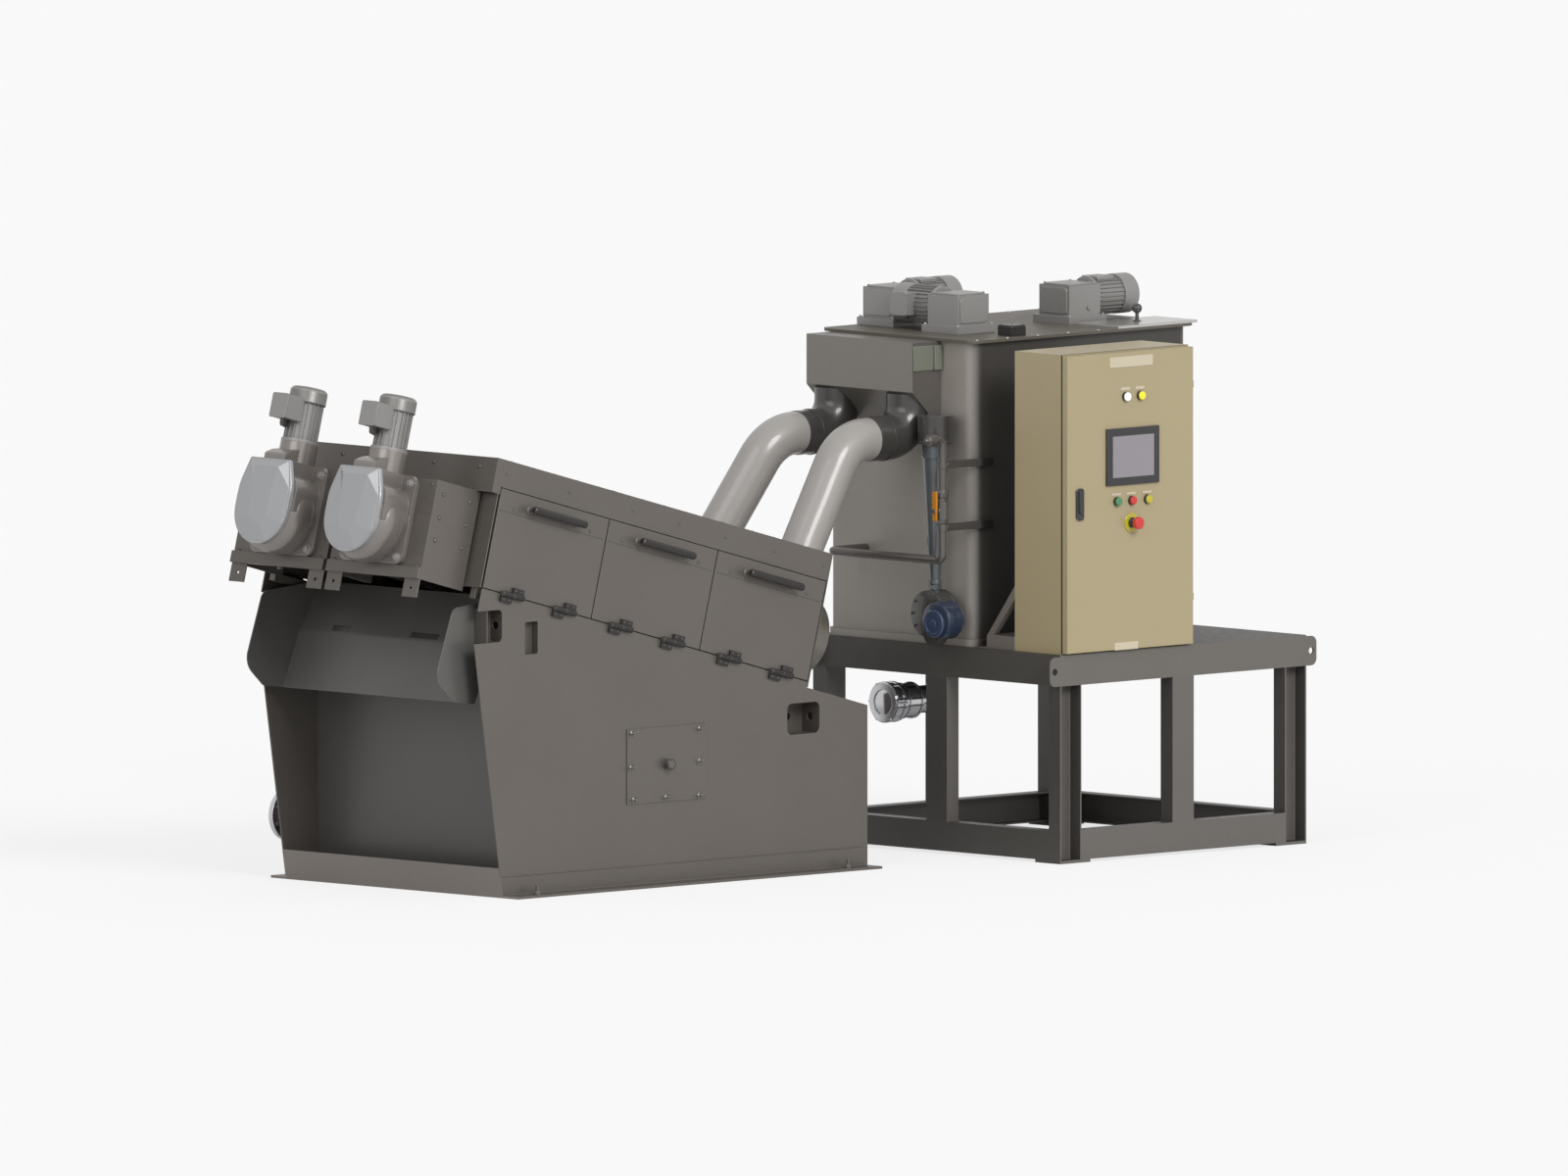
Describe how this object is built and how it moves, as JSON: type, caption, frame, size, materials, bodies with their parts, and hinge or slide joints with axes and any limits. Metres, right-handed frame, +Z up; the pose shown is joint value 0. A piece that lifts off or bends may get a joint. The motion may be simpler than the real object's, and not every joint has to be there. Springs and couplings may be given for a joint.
{
  "type": "multi-disc screw press",
  "caption": "Sloping screw press with side doors and gearmotors, fed from a stirred tank on a channel stand with a control cabinet.",
  "frame": {"origin": "middle of the whole plant's bounding box, at floor level", "axes": "+X from the press's discharge end to the tank stand, +Y away from the cabinet's front, +Z up"},
  "size_m": [4.6306, 1.833, 2.24],
  "materials": {
    "press_metal": "satin grey-brown steel sheet",
    "stand_metal": "satin grey-brown channel steel",
    "drum_steel": "ground stainless rings",
    "gear_paint": "pale blue-grey paint",
    "motor_paint": "light warm grey paint",
    "white_plastic": "glossy off-white pipe",
    "dark_plastic": "dark grey moulding",
    "lid_steel": "pale bright sheet",
    "water_steel": "bright pipe",
    "lever_paint": "orange paint",
    "coupling_chrome": "polished",
    "cabinet_paint": "beige powder coat",
    "bracket_paint": "pinkish grey paint",
    "screen_plastic": "dark bezel"
  },
  "bodies": {
    "plant": {"bay_wall": "press_metal", "cabinet": "cabinet_paint", "cabinet_bracket": "bracket_paint", "discharge_chute": "press_metal", "drain_coupling": "coupling_chrome", "drain_pump": "dark_plastic", "far_drum": "drum_steel", "far_drum_head": "press_metal", "far_elbow": "dark_plastic", "far_feed_pipe": "white_plastic", "far_gearbox": "gear_paint", "far_motor": "motor_paint", "far_wall": "press_metal", "front_mixer_drive": "motor_paint", "hatch": "press_metal", "hood": "press_metal", "level_sensor": "press_metal", "near_drum": "drum_steel", "near_drum_head": "press_metal", "near_elbow": "dark_plastic", "near_feed_pipe": "white_plastic", "near_gearbox": "gear_paint", "near_motor": "motor_paint", "near_wall": "press_metal", "overflow_pipe": "white_plastic", "press_base": "press_metal", "rear_mixer_drive": "motor_paint", "rear_wall": "press_metal", "side_mixer_drive": "motor_paint", "stand_deck": "stand_metal", "stand_legs": "stand_metal", "tank": "press_metal", "tank_cover": "press_metal", "tank_lid": "lid_steel", "water_pipe": "water_steel", "weir_box": "press_metal"},
    "cabinet_door": {"cabinet_door": "cabinet_paint", "screen": "screen_plastic"},
    "valve_lever": {"valve_lever": "lever_paint"},
    "near_door_front": {"near_door_front": "press_metal"},
    "near_door_middle": {"near_door_middle": "press_metal"},
    "near_door_rear": {"near_door_rear": "press_metal"},
    "far_door_front": {"far_door_front": "press_metal"},
    "far_door_middle": {"far_door_middle": "press_metal"},
    "far_door_rear": {"far_door_rear": "press_metal"}
  },
  "joints": [
    {"name": "near_door_front_hinge", "type": "hinge", "parent": "plant", "child": "near_door_front", "pos_m": [-1.59685, -0.4225, 1.16895], "axis": [0.9659, 0, -0.2588], "range_deg": [0, 120]},
    {"name": "near_door_middle_hinge", "type": "hinge", "parent": "plant", "child": "near_door_middle", "pos_m": [-0.99315, -0.4225, 1.00719], "axis": [0.9659, 0, -0.2588], "range_deg": [0, 120]},
    {"name": "near_door_rear_hinge", "type": "hinge", "parent": "plant", "child": "near_door_rear", "pos_m": [-0.38945, -0.4225, 0.84542], "axis": [0.9659, 0, -0.2588], "range_deg": [0, 120]},
    {"name": "far_door_front_hinge", "type": "hinge", "parent": "plant", "child": "far_door_front", "pos_m": [-1.59685, 0.8455, 1.16895], "axis": [-0.9659, 0, 0.2588], "range_deg": [0, 120]},
    {"name": "far_door_middle_hinge", "type": "hinge", "parent": "plant", "child": "far_door_middle", "pos_m": [-0.99315, 0.8455, 1.00719], "axis": [-0.9659, 0, 0.2588], "range_deg": [0, 120]},
    {"name": "far_door_rear_hinge", "type": "hinge", "parent": "plant", "child": "far_door_rear", "pos_m": [-0.38945, 0.8455, 0.84542], "axis": [-0.9659, 0, 0.2588], "range_deg": [0, 120]},
    {"name": "cabinet_door_hinge", "type": "hinge", "parent": "plant", "child": "cabinet_door", "pos_m": [1.622, -0.8375, 1.435], "axis": [0, 0, 1], "range_deg": [0, 120]},
    {"name": "valve_turn", "type": "hinge", "parent": "plant", "child": "valve_lever", "pos_m": [0.67, -0.3545, 1.395], "axis": [1, 0, 0], "range_deg": [0, 90]}
  ]
}
